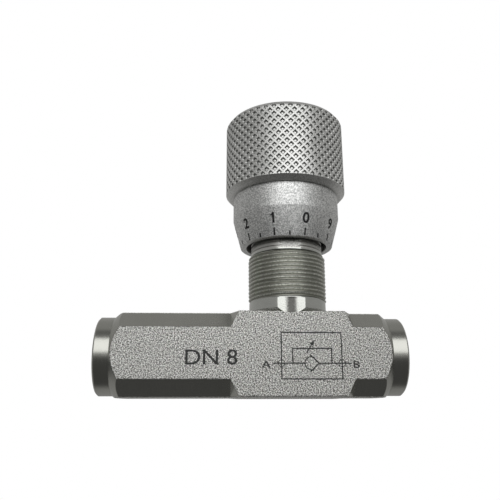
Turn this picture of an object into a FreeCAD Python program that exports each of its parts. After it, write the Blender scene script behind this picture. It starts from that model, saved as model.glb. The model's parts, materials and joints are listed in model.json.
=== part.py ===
"""In-line throttle check valve with a knurled dial knob, as a parametric FreeCAD document.

A square bar carries a pipe port at each end, port A towards -X and port B towards +X. A check
poppet opens towards port A. A turned neck screwed into the bar's top holds the fine-thread
spindle, whose knob lifts a needle out of the orifice between the two ports.

Every outline below is drawn with the port axis at height 0 and the neck axis at X = 0. The
finished pieces are then lifted by half the bar, so that the valve's frame has its origin on the
base face, under the neck axis, with +Z up. The dial stands two and a half turns open.
"""

import FreeCAD, Part
import os
import re
import Sketcher

# Driving dimensions: alias, size (millimetres unless it says otherwise) and what it measures.
DIMENSIONS = [
    ("bar_width", 20, "square bar, flat to flat"),
    ("length_a", 47, "neck axis to port A's face"),
    ("length_b", 28, "neck axis to port B's face"),
    ("corner_chamfer", 4, "leg of the corner chamfers beside the centre block"),
    ("block_half", 12.65, "half length of the square centre block"),
    ("block_slope", 2.05, "run of the block's sloping ends"),
    ("end_radius", 9.6, "turned ends"),
    ("end_length", 3.8, "length of a turned end before its cone"),
    ("end_break", 0.4, "broken edge of a turned end"),
    ("edge_round", 0.2, "rounding of the bar's outer edges"),
    ("cone_rise", 5.4, "radial rise of the cone behind a turned end"),
    ("cone_run", 6.2, "axial run of the same cone"),
    ("overrun", 1, "how far a cutter passes the surface it leaves"),
    ("port_radius", 6.58, "G1/4 thread, major radius"),
    ("port_depth", 12, "port face to the end of the full thread"),
    ("port_mouth", 0.7, "45 degree countersink of a port"),
    ("port_b_cone", 2.3, "length of the drill cone behind port B"),
    ("passage_radius", 2.75, "passage between the check seat and port B"),
    ("bore_radius", 5.6, "poppet bore"),
    ("bore_end", 12, "neck axis to the poppet bore's end face"),
    ("check_seat_width", 0.65, "45 degree check seat, measured radially"),
    ("clip_groove_radius", 6.1, "port A snap ring groove"),
    ("clip_place", 33.9, "neck axis to the outer face of that groove"),
    ("clip_width", 1, "width of that groove"),
    ("bypass_radius", 0.9, "drilling from the poppet bore to the needle chamber"),
    ("bypass_start", 13.5, "neck axis to where the drilling starts, inside the bore"),
    ("bypass_height", 4.4, "height of the drilling there"),
    ("bypass_length", 9.5, "length of the drilling"),
    ("bypass_slope", 3.4, "degrees the drilling climbs"),
    ("orifice_radius", 1.9, "throttle orifice"),
    ("orifice_relief", 0.3, "how much wider the hole below the orifice is"),
    ("seat_floor", 3.1, "underside of the throttle seat"),
    ("seat_top", 4.3, "top of the throttle seat and floor of the needle chamber"),
    ("seat_radius", 3.2, "throttle seat, outside"),
    ("chamber_radius", 4.8, "needle chamber"),
    ("spigot_floor", 5.9, "bottom of the neck's spigot"),
    ("spigot_radius", 8, "neck spigot, M16 x 1"),
    ("shoulder", 9.6, "height of the seat under the neck's shoulder"),
    ("seat_edge_radius", 10.05, "that seat, outside"),
    ("seal_inner", 5.4, "face seal groove, inside radius"),
    ("seal_outer", 7.2, "face seal groove, outside radius"),
    ("seal_depth", 1.2, "face seal groove, depth"),
    ("recess_radius", 4.5, "recess inside the spigot"),
    ("recess_top", 7.6, "top of that recess"),
    ("neck_radius", 9.8, "smooth band of the neck"),
    ("foot_radius", 9.25, "bottom of the band's tapered foot"),
    ("foot_top", 10.95, "top of that foot"),
    ("flat_distance", 9.2, "neck axis to the band's two spanner flats"),
    ("flat_top", 13.5, "top of those flats"),
    ("thread_radius", 10, "neck thread, M20 x 1, major radius"),
    ("thread_start", 13.8, "bottom of the neck thread"),
    ("relief_radius", 9.5, "thread relief below it"),
    ("relief_width", 0.4, "width of that relief"),
    ("thread_end", 25.8, "top of the neck thread"),
    ("thread_chamfer", 0.7, "lead-in at the thread's top"),
    ("ring_radius", 9.23, "stem above the thread, where the turns are read"),
    ("neck_top", 40.5, "top of the neck"),
    ("stem_bore", 3.05, "needle guide bore"),
    ("spindle_bore", 5, "M10 x 1 spindle thread in the neck"),
    ("spindle_bore_floor", 20, "bottom of that thread"),
    ("stop_floor", 37.55, "bottom of the stop ring's groove"),
    ("stop_width", 0.9, "width of that groove"),
    ("stop_groove_radius", 5.6, "depth of that groove, as a radius"),
    ("wiper_floor", 39, "floor of the wiper's counterbore"),
    ("wiper_radius", 5.5, "that counterbore"),
    ("gap", 0.05, "running gap between turning or sliding pieces"),
    ("ring_play", 0.05, "axial play of a ring in its groove"),
    ("ring_opening", 320, "degrees that an open snap ring reaches round"),
    ("needle_tip_height", 3.1, "needle tip, at rest"),
    ("needle_tip_radius", 0.5, "flat on the needle's tip"),
    ("stem_radius", 3, "needle stem"),
    ("needle_cone_top", 9.95, "top of the needle's 20 degree taper"),
    ("stem_groove_floor", 12.5, "bottom of the stem's seal groove"),
    ("stem_groove_top", 14.9, "top of the stem's seal groove"),
    ("stem_groove_radius", 2.2, "bottom of that groove, as a radius"),
    ("stem_top", 22.2, "top of the stem"),
    ("button_neck_radius", 1.5, "neck under the needle's button"),
    ("button_radius", 2.8, "needle's button"),
    ("button_floor", 24, "underside of the button"),
    ("button_top", 26, "top of the button"),
    ("backup_height", 0.65, "back-up ring, height"),
    ("stem_seal_wire", 0.41, "stem O-ring, section radius"),
    ("neck_seal_wire", 0.55, "neck O-ring, section radius"),
    ("spindle_bottom", 22.6, "bottom of the spindle"),
    ("spindle_shoulder", 34, "top of the spindle's thread, which meets the stop ring"),
    ("shaft_radius", 3.5, "spindle shaft through the knob"),
    ("shaft_top", 59.5, "top of the spindle shaft"),
    ("pocket_radius", 3.1, "pocket for the needle's button"),
    ("pocket_top", 26.1, "top of that pocket"),
    ("needle_clip_floor", 23.2, "underside of the needle clip"),
    ("needle_clip_height", 0.7, "needle clip, height"),
    ("needle_clip_radius", 3.45, "needle clip, outside"),
    ("needle_clip_hole", 1.7, "needle clip, inside"),
    ("tapping_radius", 2, "M4 holes"),
    ("tapping_floor", 51, "bottom of the spindle's tapped hole"),
    ("rim_radius", 12, "dial sleeve's rim"),
    ("rim_height", 28.25, "height of the rim"),
    ("sleeve_bore", 10.5, "dial sleeve, inside"),
    ("sleeve_radius", 14, "dial sleeve above its cone"),
    ("sleeve_cone_top", 35.77, "top of the dial cone"),
    ("grip_floor", 41.98, "underside of the knurled grip"),
    ("sleeve_spigot_radius", 12.5, "sleeve's spigot inside the grip"),
    ("sleeve_spigot_top", 46.95, "top of that spigot"),
    ("grip_radius", 16, "over the knurl"),
    ("grip_top", 63.5, "top of the grip"),
    ("grip_bevel", 1.2, "bevel under the grip"),
    ("grip_chamfer", 1, "chamfer round the grip's top"),
    ("grip_roof", 47, "ceiling of the grip's hollow"),
    ("hub_radius", 7, "boss round the shaft inside the hollow"),
    ("hub_floor", 43.5, "bottom of that boss"),
    ("grip_recess_radius", 5.2, "recess for the cap screw"),
    ("grip_recess_floor", 60.3, "floor of that recess"),
    ("washer_radius", 4.5, "washer"),
    ("washer_height", 0.7, "washer, thickness"),
    ("cap_head_radius", 3.8, "M4 button head"),
    ("cap_head_height", 2.2, "M4 button head, height"),
    ("cap_shank", 9, "length of the cap screw's shank"),
    ("hex_radius", 1.44, "2.5 mm hexagon socket, across corners"),
    ("hex_depth", 1.4, "depth of that socket"),
    ("grub_length", 6, "knob grub screws"),
    ("grub_height", 53, "height of the knob grub screws"),
    ("dial_grub_radius", 1.5, "M3 grub screws of the dial sleeve"),
    ("dial_grub_length", 2.6, "their length"),
    ("dial_grub_height", 44.9, "their height"),
    ("grub_azimuth", 45, "degrees from +X to the first grub screw"),
    ("grub_spread", 90, "degrees between the two grub screws"),
    ("poppet_nose", 2.2, "poppet, flat on its nose, as a radius"),
    ("poppet_head", 4, "poppet, head radius"),
    ("poppet_shoulder", 15, "neck axis to the front of the poppet's skirt"),
    ("poppet_end", 22, "neck axis to the poppet's open end"),
    ("poppet_cup", 4.3, "inside the poppet's skirt"),
    ("poppet_cup_end", 16, "neck axis to the cup's spring face"),
    ("poppet_well", 2.6, "well inside the poppet's head"),
    ("poppet_well_end", 13.4, "neck axis to the bottom of that well"),
    ("poppet_hole", 0.8, "radial flow holes"),
    ("poppet_hole_place", 14.4, "neck axis to those holes"),
    ("poppet_hole_count", 4, "how many"),
    ("plate_place", 32.9, "neck axis to the spring plate's outer face"),
    ("plate_thickness", 1.2, "spring plate"),
    ("plate_hole", 0.85, "flow holes of the spring plate"),
    ("plate_hole_circle", 2.3, "circle those holes lie on"),
    ("plate_hole_count", 6, "how many"),
    ("spring_radius", 3.75, "check spring, mean radius"),
    ("spring_wire", 0.38, "check spring, wire radius"),
    ("spring_turns", 7.5, "check spring, turns"),
]

doc = FreeCAD.newDocument("flow_control_valve")
dims = doc.addObject("Spreadsheet::Sheet", "dims")
for row, (alias, size, meaning) in enumerate(DIMENSIONS, start=1):
    dims.set(f"A{row}", str(size))
    dims.setAlias(f"A{row}", alias)
    dims.set(f"B{row}", meaning)
doc.recompute()

pieces = []


def bound(text):
    """An expression whose words are the sheet's aliases, as FreeCAD's expressions want it."""
    return re.sub(r"\b[a-z]\w*\b(?!\()", r"dims.\g<0>", text)


def size_of(text):
    """The number that an expression of the sheet's aliases comes to."""
    return float(dims.evalExpression(bound(text)))


def new_body(label):
    """A PartDesign body, lifted so that the bar's base face lies at height 0."""
    body = doc.addObject("PartDesign::Body", label)
    body.setExpression("Placement.Base.z", bound("bar_width / 2"))
    pieces.append(body)
    return body


def new_sketch(body, role="XZ_Plane", offset=None):
    """An empty sketch on one of the body's origin planes."""
    sketch = body.newObject("Sketcher::SketchObject", body.Label + "_sketch")
    base = next(f for f in body.Origin.OriginFeatures if f.Role == role)
    sketch.AttachmentSupport = [(base, "")]
    sketch.MapMode = "FlatFace"
    if offset:
        sketch.AttachmentOffset = offset
    return sketch


def pin_point(sketch, edge, end, pair):
    """Hold a sketch point at a pair of sheet expressions."""
    for kind, text in zip(("DistanceX", "DistanceY"), pair):
        place = Sketcher.Constraint(kind, -1, 1, edge, end, size_of(text))
        sketch.setExpression(f"Constraints[{sketch.addConstraint(place)}]", bound(text))


def outline(body, points, role="XZ_Plane", offset=None):
    """A closed outline of straight edges through points given as sheet expressions."""
    sketch = new_sketch(body, role, offset)
    corners = [FreeCAD.Vector(size_of(a), size_of(b), 0) for a, b in points]
    for i, corner in enumerate(corners):
        sketch.addGeometry(Part.LineSegment(corner, corners[(i + 1) % len(corners)]), False)
    for i in range(len(corners)):
        joined = Sketcher.Constraint("Coincident", i, 2, (i + 1) % len(corners), 1)
        sketch.addConstraint(joined)
    for i, pair in enumerate(points):
        pin_point(sketch, i, 1, pair)
    return sketch


def circle(body, centre, radius, role="XZ_Plane", offset=None):
    """A circle given by sheet expressions."""
    sketch = new_sketch(body, role, offset)
    middle = FreeCAD.Vector(size_of(centre[0]), size_of(centre[1]), 0)
    ring = Part.Circle(middle, FreeCAD.Vector(0, 0, 1), size_of(radius))
    sketch.addGeometry(ring, False)
    pin_point(sketch, 0, 3, centre)
    index = sketch.addConstraint(Sketcher.Constraint("Radius", 0, size_of(radius)))
    sketch.setExpression(f"Constraints[{index}]", bound(radius))
    return sketch


def turn(body, sketch, kind="Revolution", axis="V_Axis", angle="360"):
    """Revolve a sketch about its own axis, to add ("Revolution") or to cut ("Groove")."""
    feature = body.newObject("PartDesign::" + kind, f"{body.Label}_{kind.lower()}")
    feature.Profile = sketch
    feature.ReferenceAxis = (sketch, [axis])
    feature.setExpression("Angle", bound(angle))
    sketch.Visibility = False
    return feature


def extrude(body, sketch, kind, length, both_ways=False, reverse=False):
    """Pad or pocket a sketch by a length."""
    feature = body.newObject("PartDesign::" + kind, f"{body.Label}_{kind.lower()}")
    feature.Profile = sketch
    feature.setExpression("Length", bound(length))
    feature.Midplane = both_ways
    feature.Reversed = reverse
    sketch.Visibility = False
    return feature


def repeat_round(body, features, sketch, axis, count, angle="360"):
    """A polar pattern of features about a sketch's axis."""
    pattern = body.newObject("PartDesign::PolarPattern", body.Label + "_pattern")
    pattern.Originals = features
    pattern.Axis = (sketch, [axis])
    pattern.setExpression("Angle", bound(angle))
    pattern.setExpression("Occurrences", bound(count))
    body.Tip = pattern
    return pattern


def turned_end(body, side, length):
    """Turn one end of the bar round, with a cone behind it that runs out into the flats."""

    def along(text):
        return f"{side}({length} - ({text}))"

    cutter = outline(body, [
        (along("-overrun"), "end_radius - end_break - overrun"),
        (along("end_break"), "end_radius"),
        (along("end_length"), "end_radius"),
        (along("end_length + cone_run"), "end_radius + cone_rise"),
        (along("-overrun"), "end_radius + cone_rise"),
    ])
    turn(body, cutter, "Groove", "H_Axis")


def chamfer_cutter(body, side, length):
    """Cut one corner chamfer beside the centre block, with its sloping end."""
    corner = "bar_width * sqrt(2) / 2"
    flat = "(bar_width - corner_chamfer) * sqrt(2) / 2"
    past = f"{side}(block_half - block_slope * overrun * sqrt(2) / corner_chamfer)"
    slanted = FreeCAD.Placement(FreeCAD.Vector(), FreeCAD.Rotation(FreeCAD.Vector(1, 0, 0), 45))
    sketch = outline(body, [
        (f"{side}({length} + overrun)", flat),
        (f"{side}(block_half + block_slope)", flat),
        (past, corner + " + overrun"),
        (f"{side}({length} + overrun)", corner + " + overrun"),
    ], "XY_Plane", slanted)
    return sketch, extrude(body, sketch, "Pocket", "bar_width", both_ways=True)


def round_outer_edges(body, base):
    """Round the flats' straight edges and the curves where the cones run out into them.

    The neck's seat keeps sharp edges, and so do the hollow ones at the foot of the sloping ends.
    """
    doc.recompute()
    axis_height = size_of("bar_width / 2")
    foot = size_of("block_half + block_slope")
    names = []
    for number, edge in enumerate(base.Shape.Edges, start=1):
        middle = edge.valueAt((edge.FirstParameter + edge.LastParameter) / 2)
        from_axis = (middle.y ** 2 + middle.z ** 2) ** 0.5
        straight = edge.Curve.TypeId == "Part::GeomLine" and edge.Length > size_of("corner_chamfer")
        runs_out = edge.Curve.TypeId == "Part::GeomHyperbola"
        at_foot = abs(abs(middle.x) - foot) < size_of("edge_round")
        at_seat = middle.z > size_of("shoulder - gap") and abs(middle.x) < size_of("neck_radius / 2")
        on_bar = from_axis > axis_height - size_of("edge_round")
        if on_bar and (runs_out or straight) and not at_foot and not at_seat:
            names.append(f"Edge{number}")
    rounding = body.newObject("PartDesign::Fillet", body.Label + "_rounding")
    rounding.Base = (base, names)
    rounding.setExpression("Radius", bound("edge_round"))


def valve_body():
    body = new_body("valve_body")
    bar = outline(body, [
        ("-length_a", "-bar_width / 2"),
        ("length_b", "-bar_width / 2"),
        ("length_b", "bar_width / 2"),
        ("-length_a", "bar_width / 2"),
    ])
    extrude(body, bar, "Pad", "bar_width", both_ways=True)
    turned_end(body, "-", "length_a")
    turned_end(body, "", "length_b")
    sketch, left = chamfer_cutter(body, "-", "length_a")
    right = chamfer_cutter(body, "", "length_b")[1]
    repeat_round(body, [left, right], sketch, "H_Axis", "4")
    # Port A, poppet bore with its snap ring groove, check seat, passage and port B.
    ports = outline(body, [
        ("-length_a - overrun", "0"),
        ("-length_a - overrun", "port_radius + port_mouth + overrun"),
        ("-length_a + port_mouth", "port_radius"),
        ("-length_a + port_depth", "port_radius"),
        ("-length_a + port_depth", "bore_radius"),
        ("-clip_place", "bore_radius"),
        ("-clip_place", "clip_groove_radius"),
        ("-clip_place + clip_width", "clip_groove_radius"),
        ("-clip_place + clip_width", "bore_radius"),
        ("-bore_end", "bore_radius"),
        ("-bore_end", "passage_radius + check_seat_width"),
        ("-bore_end + check_seat_width", "passage_radius"),
        ("length_b - port_depth - port_b_cone", "passage_radius"),
        ("length_b - port_depth", "port_radius"),
        ("length_b - port_mouth", "port_radius"),
        ("length_b + overrun", "port_radius + port_mouth + overrun"),
        ("length_b + overrun", "0"),
    ])
    turn(body, ports, "Groove", "H_Axis")
    # Orifice, seat pocket, needle chamber, spigot thread and the neck's countersunk seat.
    well = outline(body, [
        ("0", "0"),
        ("orifice_radius + orifice_relief", "0"),
        ("orifice_radius + orifice_relief", "seat_floor"),
        ("seat_radius", "seat_floor"),
        ("seat_radius", "seat_top"),
        ("chamber_radius", "seat_top"),
        ("chamber_radius", "spigot_floor"),
        ("spigot_radius", "spigot_floor"),
        ("spigot_radius", "shoulder"),
        ("seat_edge_radius", "shoulder"),
        ("seat_edge_radius + bar_width / 2 - shoulder + overrun", "bar_width / 2 + overrun"),
        ("0", "bar_width / 2 + overrun"),
    ])
    turn(body, well, "Groove")
    climb = FreeCAD.Rotation(FreeCAD.Vector(1, 0, 0), -size_of("bypass_slope"))
    start = FreeCAD.Vector(0, size_of("bypass_height"), -size_of("bypass_start"))
    bypass = circle(body, ("0", "0"), "bypass_radius", "YZ_Plane", FreeCAD.Placement(start, climb))
    round_outer_edges(body, extrude(body, bypass, "Pocket", "bypass_length", reverse=True))


def threaded_neck():
    body = new_body("threaded_neck")
    turn(body, outline(body, [
        ("recess_radius", "spigot_floor"),
        ("seal_inner", "spigot_floor"),
        ("seal_inner", "spigot_floor + seal_depth"),
        ("seal_outer", "spigot_floor + seal_depth"),
        ("seal_outer", "spigot_floor"),
        ("spigot_radius", "spigot_floor"),
        ("spigot_radius", "shoulder"),
        ("foot_radius", "shoulder"),
        ("neck_radius", "foot_top"),
        ("neck_radius", "thread_start - relief_width"),
        ("relief_radius", "thread_start - relief_width"),
        ("relief_radius", "thread_start"),
        ("thread_radius", "thread_start"),
        ("thread_radius", "thread_end - thread_chamfer"),
        ("thread_radius - thread_chamfer", "thread_end"),
        ("ring_radius", "thread_end"),
        ("ring_radius", "neck_top"),
        ("wiper_radius", "neck_top"),
        ("wiper_radius", "wiper_floor"),
        ("spindle_bore", "wiper_floor"),
        ("spindle_bore", "stop_floor + stop_width"),
        ("stop_groove_radius", "stop_floor + stop_width"),
        ("stop_groove_radius", "stop_floor"),
        ("spindle_bore", "stop_floor"),
        ("spindle_bore", "spindle_bore_floor"),
        ("stem_bore", "spindle_bore_floor"),
        ("stem_bore", "recess_top"),
        ("recess_radius", "recess_top"),
    ]))
    # Spanner flats on the front and the back of the smooth band.
    outward = FreeCAD.Placement(FreeCAD.Vector(0, 0, size_of("flat_distance")), FreeCAD.Rotation())
    flat = outline(body, [
        ("-neck_radius", "shoulder"),
        ("neck_radius", "shoulder"),
        ("neck_radius", "flat_top"),
        ("-neck_radius", "flat_top"),
    ], offset=outward)
    cut = extrude(body, flat, "Pocket", "neck_radius - flat_distance + overrun", reverse=True)
    repeat_round(body, [cut], flat, "V_Axis", "2")


def torus(label, ring, wire, height):
    """An O-ring about the neck axis."""
    seal = doc.addObject("Part::Torus", label)
    seal.setExpression("Radius1", bound(ring))
    seal.setExpression("Radius2", bound(wire))
    seal.setExpression("Placement.Base.z", bound(f"bar_width / 2 + {height}"))
    pieces.append(seal)


def ring(label, inside, outside, bottom, top, angle="360"):
    """A flat ring about the neck axis, open where angle is less than a full turn."""
    body = new_body(label)
    section = [(inside, bottom), (outside, bottom), (outside, top), (inside, top)]
    turn(body, outline(body, section), angle=angle)


def throttle_seat():
    ring("throttle_seat", "orifice_radius", "seat_radius - gap / 2", "seat_floor", "seat_top")


def spindle_stop_ring():
    bottom = "stop_floor + ring_play"
    top = "stop_floor + stop_width - ring_play"
    inside = "shaft_radius + 4 * gap"
    outside = "stop_groove_radius - gap"
    ring("spindle_stop_ring", inside, outside, bottom, top, "ring_opening")


def needle_clip():
    top = "needle_clip_floor + needle_clip_height"
    inside = "needle_clip_hole"
    ring("needle_clip", inside, "needle_clip_radius", "needle_clip_floor", top, "ring_opening")


def spindle_wiper():
    body = new_body("spindle_wiper")
    lip = "shaft_radius + gap"
    turn(body, outline(body, [
        (lip + " + 8 * gap", "wiper_floor + ring_play"),
        ("wiper_radius - gap / 2", "wiper_floor + ring_play"),
        ("wiper_radius - gap / 2", "neck_top - ring_play"),
        (lip + " + 4 * gap", "neck_top - ring_play"),
        (lip, "neck_top - 6 * ring_play"),
        (lip, "neck_top - 12 * ring_play"),
    ]))


def throttle_needle():
    body = new_body("throttle_needle")
    turn(body, outline(body, [
        ("0", "needle_tip_height"),
        ("needle_tip_radius", "needle_tip_height"),
        ("stem_radius", "needle_cone_top"),
        ("stem_radius", "stem_groove_floor"),
        ("stem_groove_radius", "stem_groove_floor"),
        ("stem_groove_radius", "stem_groove_top"),
        ("stem_radius", "stem_groove_top"),
        ("stem_radius", "stem_top"),
        ("button_neck_radius", "stem_top"),
        ("button_neck_radius", "button_floor"),
        ("button_radius", "button_floor"),
        ("button_radius", "button_top - 6 * ring_play"),
        ("button_radius - 6 * ring_play", "button_top"),
        ("0", "button_top"),
    ]))


def needle_backup_rings():
    """Two rings, below and above the stem's O-ring."""
    rings = []
    for index, height in enumerate(("stem_groove_floor + ring_play",
                                    "stem_groove_top - ring_play - backup_height")):
        solids = []
        for role, radius in (("outside", "stem_bore - gap / 2"),
                             ("hole", "stem_groove_radius + gap / 2")):
            solid = doc.addObject("Part::Cylinder", f"backup_{role}_{index}")
            solid.setExpression("Radius", bound(radius))
            solid.setExpression("Height", bound("backup_height"))
            solid.setExpression("Placement.Base.z", bound(f"bar_width / 2 + {height}"))
            solids.append(solid)
        cut = doc.addObject("Part::Cut", f"backup_ring_{index}")
        cut.Base, cut.Tool = solids
        rings.append(cut)
    pair = doc.addObject("Part::Compound", "needle_backup_rings")
    pair.Links = rings
    pieces.append(pair)


def adjusting_spindle():
    body = new_body("adjusting_spindle")
    clip_top = "needle_clip_floor + needle_clip_height + ring_play"
    turn(body, outline(body, [
        ("0", "pocket_top"),
        ("pocket_radius", "pocket_top"),
        ("pocket_radius", clip_top),
        ("needle_clip_radius + gap", clip_top),
        ("needle_clip_radius + gap", "needle_clip_floor - ring_play"),
        ("pocket_radius", "needle_clip_floor - ring_play"),
        ("pocket_radius", "spindle_bottom"),
        ("spindle_bore - gap", "spindle_bottom"),
        ("spindle_bore - gap", "spindle_shoulder"),
        ("shaft_radius", "spindle_shoulder"),
        ("shaft_radius", "shaft_top"),
        ("tapping_radius", "shaft_top"),
        ("tapping_radius", "tapping_floor"),
        ("0", "tapping_floor"),
    ]))


def dial_sleeve():
    body = new_body("dial_sleeve")
    turn(body, outline(body, [
        ("sleeve_bore", "rim_height"),
        ("rim_radius", "rim_height"),
        ("sleeve_radius", "sleeve_cone_top"),
        ("sleeve_radius", "grip_floor"),
        ("sleeve_spigot_radius", "grip_floor"),
        ("sleeve_spigot_radius", "sleeve_spigot_top"),
        ("sleeve_bore", "sleeve_spigot_top"),
    ]))


def radial_holes(body, radius, height):
    """Two holes across the body's wall, one each side of the back."""
    first = FreeCAD.Rotation(FreeCAD.Vector(0, 1, 0), -size_of("grub_azimuth"))
    aimed = FreeCAD.Placement(FreeCAD.Vector(), first)
    sketch = circle(body, ("0", height), radius, offset=aimed)
    hole = extrude(body, sketch, "Pocket", "grip_radius + overrun")
    repeat_round(body, [hole], sketch, "V_Axis", "2", "grub_spread")


def grip_knob():
    body = new_body("grip_knob")
    shaft_hole = "shaft_radius + gap / 2"
    turn(body, outline(body, [
        (shaft_hole, "hub_floor"),
        ("hub_radius", "hub_floor"),
        ("hub_radius", "grip_roof"),
        ("sleeve_spigot_radius + gap / 2", "grip_roof"),
        ("sleeve_spigot_radius + gap / 2", "grip_floor"),
        ("grip_radius - grip_bevel", "grip_floor"),
        ("grip_radius", "grip_floor + grip_bevel"),
        ("grip_radius", "grip_top - grip_chamfer"),
        ("grip_radius - grip_chamfer", "grip_top"),
        ("grip_recess_radius", "grip_top"),
        ("grip_recess_radius", "grip_recess_floor"),
        (shaft_hole, "grip_recess_floor"),
    ]))
    radial_holes(body, "tapping_radius", "grub_height")
    radial_holes(body, "dial_grub_radius", "dial_grub_height")


def grub_screws(label, radius, length, start, height):
    """A pair of socket grub screws lying radially at the two grub azimuths."""
    screws = []
    for index in range(2):
        azimuth = size_of(f"grub_azimuth + {index} * grub_spread")
        shank = doc.addObject("Part::Cylinder", f"{label}_shank_{index}")
        shank.setExpression("Radius", bound(radius))
        shank.setExpression("Height", bound(length))
        socket = doc.addObject("Part::Prism", f"{label}_socket_{index}")
        socket.Polygon = 6
        socket.setExpression("Circumradius", bound(f"{radius} / 2"))
        socket.setExpression("Height", bound("hex_depth"))
        socket.setExpression("Placement.Base.z", bound(f"{length} - hex_depth"))
        screw = doc.addObject("Part::Cut", f"{label}_{index}")
        screw.Base = shank
        screw.Tool = socket
        lie_down = FreeCAD.Rotation(FreeCAD.Vector(0, 1, 0), 90)
        spin = FreeCAD.Rotation(FreeCAD.Vector(0, 0, 1), azimuth)
        out = spin.multVec(FreeCAD.Vector(size_of(start), 0, 0))
        lift = FreeCAD.Vector(0, 0, size_of(f"bar_width / 2 + {height}"))
        screw.Placement = FreeCAD.Placement(out + lift, spin * lie_down)
        screws.append(screw)
    pair = doc.addObject("Part::Compound", label)
    pair.Links = screws
    pieces.append(pair)


def knob_cap_screw():
    body = new_body("knob_cap_screw")
    under_head = "grip_recess_floor + washer_height + ring_play"
    turn(body, outline(body, [
        ("0", f"{under_head} - cap_shank"),
        ("tapping_radius - gap", f"{under_head} - cap_shank"),
        ("tapping_radius - gap", under_head),
        ("cap_head_radius", under_head),
        ("cap_head_radius", f"{under_head} + cap_head_height / 4"),
        ("cap_head_radius * 0.86", f"{under_head} + cap_head_height * 0.7"),
        ("cap_head_radius * 0.55", f"{under_head} + cap_head_height"),
        ("0", f"{under_head} + cap_head_height"),
    ]))
    top = size_of(f"{under_head} + cap_head_height")
    sketch = new_sketch(body, "XY_Plane", FreeCAD.Placement(FreeCAD.Vector(0, 0, top),
                                                            FreeCAD.Rotation()))
    across = FreeCAD.Vector(size_of("hex_radius"), 0, 0)
    corners = [FreeCAD.Rotation(FreeCAD.Vector(0, 0, 1), 60 * i).multVec(across) for i in range(6)]
    for i, corner in enumerate(corners):
        sketch.addGeometry(Part.LineSegment(corner, corners[(i + 1) % 6]), False)
    for i in range(6):
        sketch.addConstraint(Sketcher.Constraint("Coincident", i, 2, (i + 1) % 6, 1))
    extrude(body, sketch, "Pocket", "hex_depth")


def check_poppet():
    body = new_body("check_poppet")
    # The head's 45 degree face lies one running gap behind the seat, square to it.
    apex = "passage_radius + check_seat_width - bore_end - gap * sqrt(2)"
    turn(body, outline(body, [
        ("-poppet_well_end", "0"),
        (f"{apex} - poppet_nose", "0"),
        (f"{apex} - poppet_nose", "poppet_nose"),
        (f"{apex} - poppet_head", "poppet_head"),
        ("-poppet_shoulder", "poppet_head"),
        ("-poppet_shoulder", "bore_radius - gap"),
        ("-poppet_end", "bore_radius - gap"),
        ("-poppet_end", "poppet_cup"),
        ("-poppet_cup_end", "poppet_cup"),
        ("-poppet_cup_end", "poppet_well"),
        ("-poppet_well_end", "poppet_well"),
    ]), axis="H_Axis")
    sketch = circle(body, ("-poppet_hole_place", "0"), "poppet_hole", "XY_Plane")
    hole = extrude(body, sketch, "Pocket", "poppet_head + overrun", reverse=True)
    repeat_round(body, [hole], sketch, "H_Axis", "poppet_hole_count")


def spring_plate():
    body = new_body("spring_plate")
    disc = circle(body, ("0", "0"), "bore_radius - gap", "YZ_Plane",
                  FreeCAD.Placement(FreeCAD.Vector(0, 0, -size_of("plate_place")),
                                    FreeCAD.Rotation()))
    extrude(body, disc, "Pad", "plate_thickness")
    through = FreeCAD.Placement(FreeCAD.Vector(0, 0, -size_of("plate_place")), FreeCAD.Rotation())
    sketch = circle(body, ("0", "plate_hole_circle"), "plate_hole", "YZ_Plane", through)
    hole = extrude(body, sketch, "Pocket", "plate_thickness + overrun", reverse=True)
    repeat_round(body, [hole], sketch, "N_Axis", "plate_hole_count")


def spring_plate_circlip():
    body = new_body("spring_plate_circlip")
    left = "-clip_place + ring_play"
    right = "-clip_place + clip_width"
    inside = "bore_radius - 1"
    outside = "clip_groove_radius - gap"
    section = [(left, inside), (right, inside), (right, outside), (left, outside)]
    turn(body, outline(body, section), axis="H_Axis", angle="ring_opening")


def check_spring():
    """Coil from the spring plate to the bottom of the poppet's cup."""
    body = new_body("check_spring")
    start = "-plate_place + plate_thickness + spring_wire + gap"
    length = "plate_place - plate_thickness - poppet_cup_end - 2 * spring_wire - 2 * gap"
    wire = circle(body, (start, "spring_radius"), "spring_wire")
    coil = body.newObject("PartDesign::AdditiveHelix", "check_spring_coil")
    coil.Profile = wire
    coil.ReferenceAxis = (wire, ["H_Axis"])
    coil.Mode = 0
    coil.setExpression("Height", bound(length))
    coil.setExpression("Pitch", bound(f"({length}) / spring_turns"))
    wire.Visibility = False


def check_document():
    """Stop if any object failed or any sub-part has no valid closed solid."""
    doc.recompute()
    for item in doc.Objects:
        if "Invalid" in item.State or "Error" in item.State:
            raise RuntimeError(f"{item.Label} failed: {item.State}")
    for piece in pieces:
        shape = piece.Shape
        if shape.isNull() or not shape.isValid() or not shape.Solids:
            raise RuntimeError(f"{piece.Label} has no valid solid")
        if min(solid.Volume for solid in shape.Solids) <= 0:
            raise RuntimeError(f"{piece.Label} is inside out")


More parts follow.
